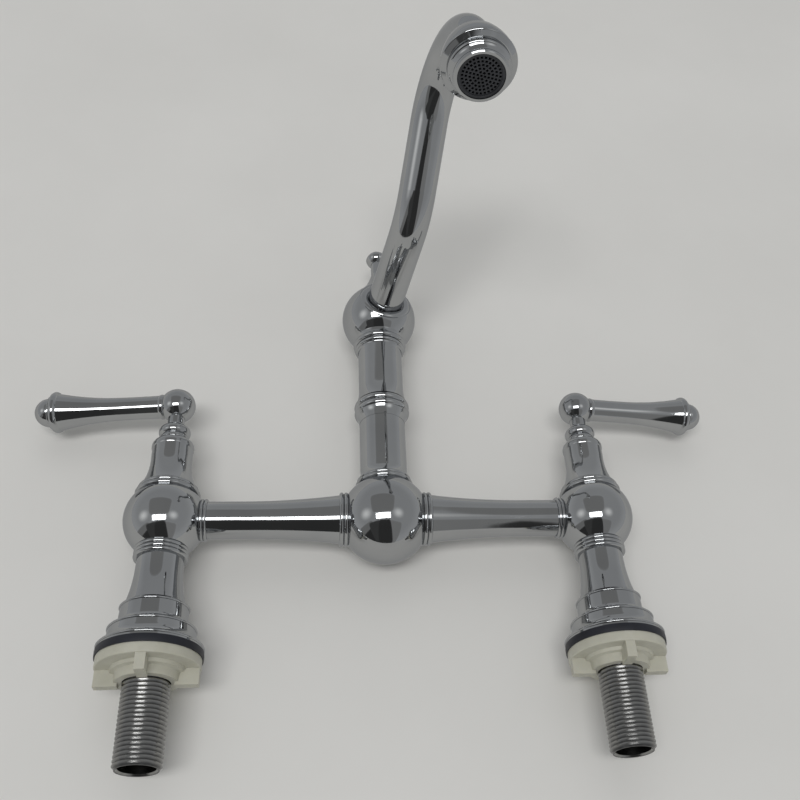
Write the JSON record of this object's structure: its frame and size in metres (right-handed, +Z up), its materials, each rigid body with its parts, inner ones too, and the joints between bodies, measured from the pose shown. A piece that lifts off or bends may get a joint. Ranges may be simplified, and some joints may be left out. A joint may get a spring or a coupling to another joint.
{
  "type": "bridge kitchen faucet",
  "caption": "Deck-mounted bridge tap with lever valves on stepped pillars, a turned centre column and a swivelling arched spout with a ringed outlet.",
  "frame": {"origin": "on the deck plane, under the gaskets, midway between the two tails", "axes": "+Z up, +X along the bridge to the right as seen by the user, who stands on the -Y side"},
  "size_m": [0.3426, 0.1964, 0.3038],
  "materials": {
    "chrome": "polished chrome plating",
    "tail_metal": "dull grey plated metal, as machined",
    "nut_plastic": "moulded ivory plastic",
    "rubber": "smooth black rubber",
    "seal_rubber": "black sealing rubber",
    "valve_brass": "turned brass",
    "ceramic": "lapped white ceramic",
    "bearing_plastic": "slippery white plastic",
    "aerator_plastic": "moulded dark grey plastic",
    "screw_steel": "stainless steel"
  },
  "bodies": {
    "base": {"left_threaded_shank": "tail_metal", "left_pillar": "chrome", "left_deck_gasket": "rubber", "left_valve_ball": "chrome", "left_cartridge_seal": "seal_rubber", "left_cartridge_body": "valve_brass", "left_fixed_disc": "ceramic", "left_bonnet": "chrome", "left_bridge_arm": "chrome", "left_arm_o_rings": "seal_rubber", "left_inner_collar": "chrome", "left_outer_collar": "chrome", "right_threaded_shank": "tail_metal", "right_pillar": "chrome", "right_deck_gasket": "rubber", "right_valve_ball": "chrome", "right_cartridge_seal": "seal_rubber", "right_cartridge_body": "valve_brass", "right_fixed_disc": "ceramic", "right_bonnet": "chrome", "right_bridge_arm": "chrome", "right_arm_o_rings": "seal_rubber", "right_inner_collar": "chrome", "right_outer_collar": "chrome", "tee_ball": "chrome", "column_base_ring": "chrome", "lower_column": "chrome", "swivel_collar": "chrome", "bearing_washer": "bearing_plastic"},
    "spout": {"swivel_insert": "valve_brass", "swivel_o_rings": "seal_rubber", "upper_column": "chrome", "column_top_ring": "chrome", "spout_ball": "chrome", "finial": "chrome", "spout_collar": "chrome", "spout_tube": "chrome", "outlet_bell": "chrome", "aerator_housing": "aerator_plastic", "aerator_grid": "aerator_plastic", "aerator_washer": "seal_rubber"},
    "left_handle": {"left_moving_disc": "ceramic", "left_stem": "valve_brass", "left_stem_o_ring": "seal_rubber", "left_handle_hub": "chrome", "left_handle_screw": "screw_steel", "left_lever": "chrome"},
    "left_nut": {"left_backnut": "nut_plastic"},
    "right_handle": {"right_moving_disc": "ceramic", "right_stem": "valve_brass", "right_stem_o_ring": "seal_rubber", "right_handle_hub": "chrome", "right_handle_screw": "screw_steel", "right_lever": "chrome"},
    "right_nut": {"right_backnut": "nut_plastic"}
  },
  "joints": [
    {"name": "spout_swivel", "type": "hinge", "parent": "base", "child": "spout", "pos_m": [0, 0, 0.13], "axis": [0, 0, 1], "range_deg": [-92.7, 67.3]},
    {"name": "left_lever_turn", "type": "hinge", "parent": "base", "child": "left_handle", "pos_m": [-0.1016, 0, 0.11], "axis": [0, 0, 1], "range_deg": [0, 90]},
    {"name": "right_lever_turn", "type": "hinge", "parent": "base", "child": "right_handle", "pos_m": [0.1016, 0, 0.11], "axis": [0, 0, 1], "range_deg": [-90, 0]},
    {"name": "left_nut_travel", "type": "slide", "parent": "base", "child": "left_nut", "axis": [0, 0, -1], "range_m": [0, 0.03]},
    {"name": "right_nut_travel", "type": "slide", "parent": "base", "child": "right_nut", "axis": [0, 0, -1], "range_m": [0, 0.03]}
  ]
}
